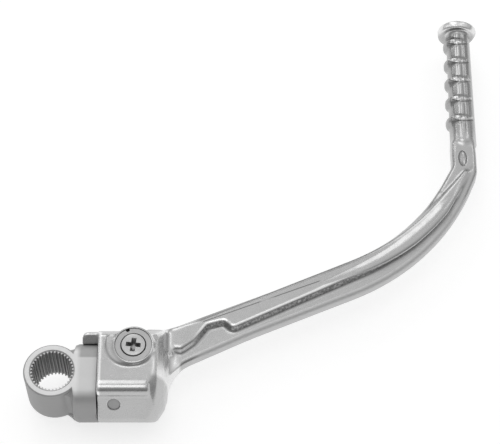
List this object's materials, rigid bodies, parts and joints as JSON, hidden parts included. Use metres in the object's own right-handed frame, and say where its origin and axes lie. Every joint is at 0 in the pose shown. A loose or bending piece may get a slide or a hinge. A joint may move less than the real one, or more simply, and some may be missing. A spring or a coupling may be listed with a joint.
{
  "type": "kick start lever",
  "caption": "Folding kick start lever with a splined boss, a ribbed curved arm and a grip-ribbed foot pedal with an end flange.",
  "frame": {"origin": "on the axis of the splined bore, at the middle of its length", "axes": "+Z along the splined bore, away from the engine side; +X along the fold axis, from the boss to the knuckle; the folded pedal points to +Y"},
  "size_m": [0.2292, 0.2296, 0.0392],
  "materials": {
    "forged_aluminium": "polished",
    "blasted_steel": "blasted",
    "bright_steel": "bright",
    "seal_rubber": "satin"
  },
  "bodies": {
    "boss": {"splined_boss": "blasted_steel", "dust_seal": "seal_rubber"},
    "arm": {"kick_arm": "forged_aluminium", "retaining_pin": "bright_steel", "cap_washer": "bright_steel", "cap_screw": "bright_steel", "detent_plug": "bright_steel", "detent_spring": "bright_steel", "detent_plunger": "bright_steel"}
  },
  "joints": [
    {"name": "fold", "type": "hinge", "parent": "boss", "child": "arm", "pos_m": [0.03, 0, -0.0021], "axis": [1, 0, 0], "range_deg": [0, 95]}
  ]
}
